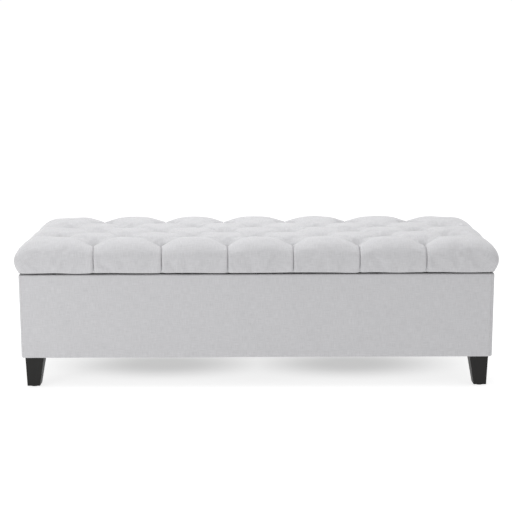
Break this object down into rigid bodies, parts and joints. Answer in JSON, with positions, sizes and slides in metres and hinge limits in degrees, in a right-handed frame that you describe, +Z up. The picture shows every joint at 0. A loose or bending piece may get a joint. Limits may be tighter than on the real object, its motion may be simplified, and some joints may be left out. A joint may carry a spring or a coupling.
{
  "type": "storage bench",
  "caption": "Upholstered storage bench: a padded fabric box on tapered wooden legs, under a hinged lid with deep diamond tufting, held open by slotted lid stays.",
  "frame": {"origin": "on the floor, at the middle of the bench's plan", "axes": "+X along the bench to the right as seen from the front, +Y to the back, +Z up; the front faces -Y"},
  "size_m": [1.29, 0.49, 0.404],
  "materials": {
    "grey_linen": "woven linen look, heathered light grey",
    "espresso_wood": "near-black stain, satin",
    "plywood": "raw plywood",
    "pine": "planed softwood",
    "foam": "open-cell upholstery foam",
    "black_lining": "non-woven polypropylene cloth",
    "twine": "waxed button twine with cardboard-washer anchors",
    "rubber": "matte",
    "zinc_steel": "bright zinc plate"
  },
  "bodies": {
    "base": {"front_panel": "plywood", "back_panel": "plywood", "left_end_panel": "plywood", "right_end_panel": "plywood", "floor_ledgers": "pine", "corner_blocks": "pine", "floor_battens": "pine", "floor_panel": "plywood", "frame_screws": "zinc_steel", "base_padding": "foam", "base_cover": "grey_linen", "storage_lining": "black_lining", "dust_cover": "black_lining", "leg_front_left": "espresso_wood", "leg_front_right": "espresso_wood", "leg_back_left": "espresso_wood", "leg_back_right": "espresso_wood", "leg_bolts": "zinc_steel", "leg_tnuts": "zinc_steel", "leg_glides": "rubber", "rim_bumpers": "rubber", "hinge_base_leaves": "zinc_steel", "hinge_pins": "zinc_steel", "hinge_base_screws": "zinc_steel", "stay_base_plates": "zinc_steel", "stay_base_screws": "zinc_steel"},
    "lid": {"lid_board": "plywood", "lid_foam": "foam", "lid_cover": "grey_linen", "tuft_buttons": "grey_linen", "tuft_ties": "twine", "lid_lining": "black_lining", "hinge_lid_leaves": "zinc_steel", "hinge_lid_screws": "zinc_steel", "stay_lid_brackets": "zinc_steel", "stay_lid_screws": "zinc_steel", "stay_rivets": "zinc_steel"},
    "stay_left": {"stay_arm_left": "zinc_steel"},
    "stay_right": {"stay_arm_right": "zinc_steel"}
  },
  "joints": [
    {"name": "lid_hinge", "type": "hinge", "parent": "base", "child": "lid", "pos_m": [0, 0.2402, 0.31355], "axis": [-1, 0, 0], "range_deg": [0, 90]},
    {"name": "stay_left_pivot", "type": "hinge", "parent": "lid", "child": "stay_left", "pos_m": [-0.606, 0.14613, 0.30033], "axis": [-1, 0, 0], "range_deg": [-45, 0]},
    {"name": "stay_right_pivot", "type": "hinge", "parent": "lid", "child": "stay_right", "pos_m": [0.606, 0.14613, 0.30033], "axis": [-1, 0, 0], "range_deg": [-45, 0]}
  ],
  "couplings": [
    {"joint": "stay_left_pivot", "follows": "lid_hinge", "ratio": -0.5},
    {"joint": "stay_right_pivot", "follows": "lid_hinge", "ratio": -0.5}
  ]
}
